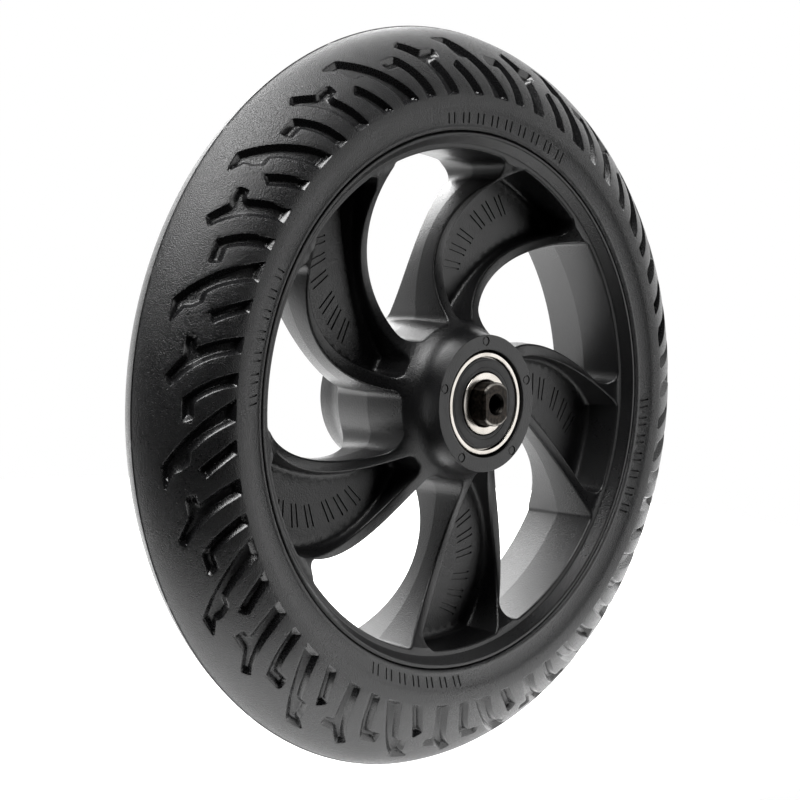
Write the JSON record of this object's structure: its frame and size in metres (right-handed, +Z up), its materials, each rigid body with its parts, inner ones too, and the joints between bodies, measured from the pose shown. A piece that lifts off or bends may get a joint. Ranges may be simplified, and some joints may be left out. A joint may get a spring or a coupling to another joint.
{
  "type": "scooter wheel with solid tyre",
  "caption": "Solid rubber tyre on a moulded five-spoke rim that turns on sealed ball bearings around a fixed axle.",
  "frame": {"origin": "centre of the wheel, on the spin axis in the middle plane", "axes": "+Y along the spin axis towards the rear face, so the front face looks along -Y; +Z up"},
  "size_m": [0.2, 0.0524, 0.2],
  "materials": {
    "rubber": "satin, fine grain",
    "nylon": "satin",
    "axle_steel": "dark oxidised",
    "spacer_steel": "turned",
    "bearing_steel": "ground",
    "seal_rubber": "satin",
    "cage_nylon": "moulded"
  },
  "bodies": {
    "axle": {"axle": "axle_steel", "bearing_spacer": "spacer_steel", "front_inner_ring": "bearing_steel", "rear_inner_ring": "bearing_steel"},
    "wheel": {"rim": "nylon", "tyre": "rubber", "front_outer_ring": "bearing_steel", "rear_outer_ring": "bearing_steel", "front_inner_seal": "seal_rubber", "front_outer_seal": "seal_rubber", "rear_inner_seal": "seal_rubber", "rear_outer_seal": "seal_rubber"},
    "front_cage": {"front_cage": "cage_nylon", "front_ball_1": "bearing_steel", "front_ball_2": "bearing_steel", "front_ball_3": "bearing_steel", "front_ball_4": "bearing_steel", "front_ball_5": "bearing_steel", "front_ball_6": "bearing_steel", "front_ball_7": "bearing_steel", "front_ball_8": "bearing_steel"},
    "rear_cage": {"rear_cage": "cage_nylon", "rear_ball_1": "bearing_steel", "rear_ball_2": "bearing_steel", "rear_ball_3": "bearing_steel", "rear_ball_4": "bearing_steel", "rear_ball_5": "bearing_steel", "rear_ball_6": "bearing_steel", "rear_ball_7": "bearing_steel", "rear_ball_8": "bearing_steel"}
  },
  "joints": [
    {"name": "wheel_spin", "type": "hinge", "parent": "axle", "child": "wheel", "pos_m": [0, 0, 0], "axis": [0, 1, 0], "continuous": true},
    {"name": "front_cage_turn", "type": "hinge", "parent": "axle", "child": "front_cage", "pos_m": [0, -0.0182, 0], "axis": [0, 1, 0], "continuous": true},
    {"name": "rear_cage_turn", "type": "hinge", "parent": "axle", "child": "rear_cage", "pos_m": [0, 0.0182, 0], "axis": [0, 1, 0], "continuous": true}
  ],
  "couplings": [
    {"joint": "front_cage_turn", "follows": "wheel_spin", "ratio": 0.619},
    {"joint": "rear_cage_turn", "follows": "wheel_spin", "ratio": 0.619}
  ]
}
